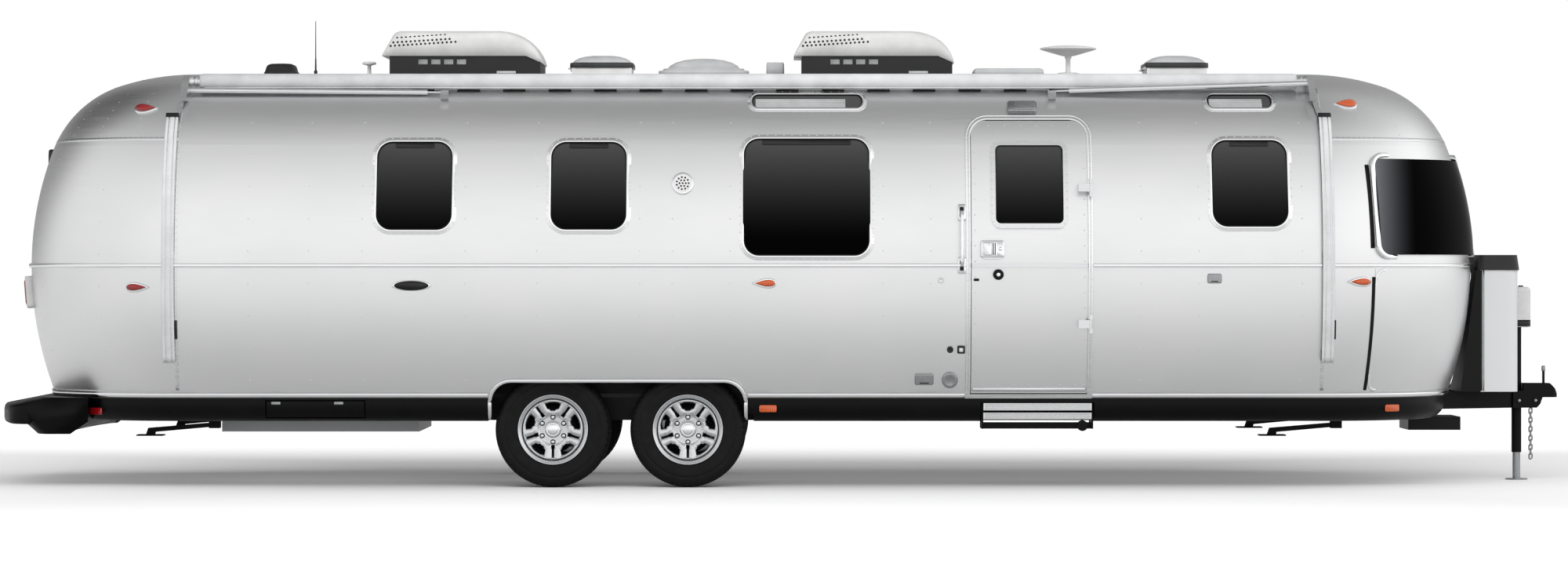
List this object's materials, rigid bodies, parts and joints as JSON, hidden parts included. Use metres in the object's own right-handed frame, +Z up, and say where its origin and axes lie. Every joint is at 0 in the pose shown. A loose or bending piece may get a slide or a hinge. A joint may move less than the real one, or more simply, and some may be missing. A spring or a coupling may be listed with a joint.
{
  "type": "travel caravan",
  "caption": "Long riveted aluminium travel trailer with rounded ends, tandem wheels, curb-side entry door, rolled awning, roof coolers, gas box and tongue jack.",
  "frame": {"origin": "on the ground under the middle of the overall length and width", "axes": "+X forward to the coupler, +Y to the street side, +Z up; the door is at -Y"},
  "size_m": [10.13, 2.6643, 3.0017],
  "materials": {
    "aluminium_skin": "satin, riveted sheet",
    "aluminium_trim": "brushed extrusion",
    "tinted_glass": "gloss, dark tint",
    "black_wrap": "black, half gloss",
    "floor_board": "plain sheet",
    "black_steel": "black paint",
    "tyre_rubber": "matt",
    "alloy_wheel": "satin casting",
    "bright_steel": "plated",
    "white_plastic": "moulded",
    "black_plastic": "moulded",
    "red_lens": "clear lens",
    "amber_lens": "clear lens",
    "awning_cloth": "rolled vinyl under a metal wrap"
  },
  "bodies": {
    "caravan": {"wall_right": "aluminium_skin", "wall_left": "aluminium_skin", "roof_skin": "aluminium_skin", "cap_rear_lower": "aluminium_skin", "cap_rear_upper": "aluminium_skin", "cap_front_lower": "aluminium_skin", "cap_front_upper": "aluminium_skin", "floor": "floor_board", "belly_pan": "black_wrap", "wheel_wells": "black_steel", "belt_rail": "aluminium_trim", "arch_trim": "aluminium_trim", "lower_rail": "aluminium_trim", "window_frames": "aluminium_trim", "window_panes": "tinted_glass", "guard_frames": "aluminium_trim", "guard_panes": "tinted_glass", "rock_guards": "aluminium_skin", "door_frame": "aluminium_trim", "axles": "black_steel", "a_frame": "black_steel", "coupler": "black_steel", "jack_post": "black_steel", "jack_head": "white_plastic", "gas_box": "aluminium_trim", "safety_chains": "bright_steel", "ac_bases": "black_plastic", "ac_shrouds": "white_plastic", "vent_bases": "white_plastic", "roof_fittings": "white_plastic", "awning_roller": "awning_cloth", "awning_arms": "aluminium_trim", "bumper": "black_steel", "step_treads": "aluminium_trim", "step_frame": "black_steel", "stabiliser_mounts": "black_steel", "under_boxes": "aluminium_trim", "red_lamps": "red_lens", "amber_lamps": "amber_lens", "wall_fittings": "white_plastic"},
    "wheel_rear_right": {"tyre_rear_right": "tyre_rubber", "rim_rear_right": "alloy_wheel"},
    "wheel_rear_left": {"tyre_rear_left": "tyre_rubber", "rim_rear_left": "alloy_wheel"},
    "wheel_front_right": {"tyre_front_right": "tyre_rubber", "rim_front_right": "alloy_wheel"},
    "wheel_front_left": {"tyre_front_left": "tyre_rubber", "rim_front_left": "alloy_wheel"},
    "door": {"door_leaf": "aluminium_skin", "door_glass": "tinted_glass", "door_fittings": "aluminium_trim"},
    "jack_foot": {"jack_leg": "bright_steel"},
    "stabiliser_leg_rear_right": {"stabiliser_rear_right": "black_steel"},
    "stabiliser_leg_rear_left": {"stabiliser_rear_left": "black_steel"},
    "stabiliser_leg_front_right": {"stabiliser_front_right": "black_steel"},
    "stabiliser_leg_front_left": {"stabiliser_front_left": "black_steel"},
    "vent_rear": {"vent_lid_rear": "white_plastic"},
    "vent_front": {"vent_lid_front": "white_plastic"},
    "gas_cover": {"gas_lid": "black_plastic"},
    "hatch": {"belly_hatch": "black_wrap"}
  },
  "joints": [
    {"name": "wheel_spin_rear_right", "type": "hinge", "parent": "caravan", "child": "wheel_rear_right", "pos_m": [-1.459, -0.985, 0.366], "axis": [0, 1, 0], "continuous": true},
    {"name": "wheel_spin_rear_left", "type": "hinge", "parent": "caravan", "child": "wheel_rear_left", "pos_m": [-1.459, 0.985, 0.366], "axis": [0, 1, 0], "continuous": true},
    {"name": "wheel_spin_front_right", "type": "hinge", "parent": "caravan", "child": "wheel_front_right", "pos_m": [-0.607, -0.985, 0.366], "axis": [0, 1, 0], "continuous": true},
    {"name": "wheel_spin_front_left", "type": "hinge", "parent": "caravan", "child": "wheel_front_left", "pos_m": [-0.607, 0.985, 0.366], "axis": [0, 1, 0], "continuous": true},
    {"name": "door_hinge", "type": "hinge", "parent": "caravan", "child": "door", "pos_m": [1.92, -1.303, 1.4], "axis": [0, 0, 1], "range_deg": [0, 150]},
    {"name": "jack_slide", "type": "slide", "parent": "caravan", "child": "jack_foot", "axis": [0, 0, 1], "range_m": [0, 0.165]},
    {"name": "stabiliser_swing_rear_right", "type": "hinge", "parent": "caravan", "child": "stabiliser_leg_rear_right", "pos_m": [-3.64, -0.7, 0.384], "axis": [0, -1, 0], "range_deg": [0, 40]},
    {"name": "stabiliser_swing_rear_left", "type": "hinge", "parent": "caravan", "child": "stabiliser_leg_rear_left", "pos_m": [-3.64, 0.7, 0.384], "axis": [0, -1, 0], "range_deg": [0, 40]},
    {"name": "stabiliser_swing_front_right", "type": "hinge", "parent": "caravan", "child": "stabiliser_leg_front_right", "pos_m": [3.53, -0.7, 0.384], "axis": [0, -1, 0], "range_deg": [0, 40]},
    {"name": "stabiliser_swing_front_left", "type": "hinge", "parent": "caravan", "child": "stabiliser_leg_front_left", "pos_m": [3.53, 0.7, 0.384], "axis": [0, -1, 0], "range_deg": [0, 40]},
    {"name": "vent_tilt_rear", "type": "hinge", "parent": "caravan", "child": "vent_rear", "pos_m": [-1.394, 0, 2.688], "axis": [0, -1, 0], "range_deg": [0, 70]},
    {"name": "vent_tilt_front", "type": "hinge", "parent": "caravan", "child": "vent_front", "pos_m": [2.351, 0, 2.688], "axis": [0, -1, 0], "range_deg": [0, 70]},
    {"name": "gas_lid_tilt", "type": "hinge", "parent": "caravan", "child": "gas_cover", "pos_m": [4.772, 0, 1.3723], "axis": [0, 1, 0], "range_deg": [0, 80]},
    {"name": "hatch_drop", "type": "hinge", "parent": "caravan", "child": "hatch", "pos_m": [-2.954, -1.09, 0.45], "axis": [1, 0, 0], "range_deg": [0, 100]}
  ]
}
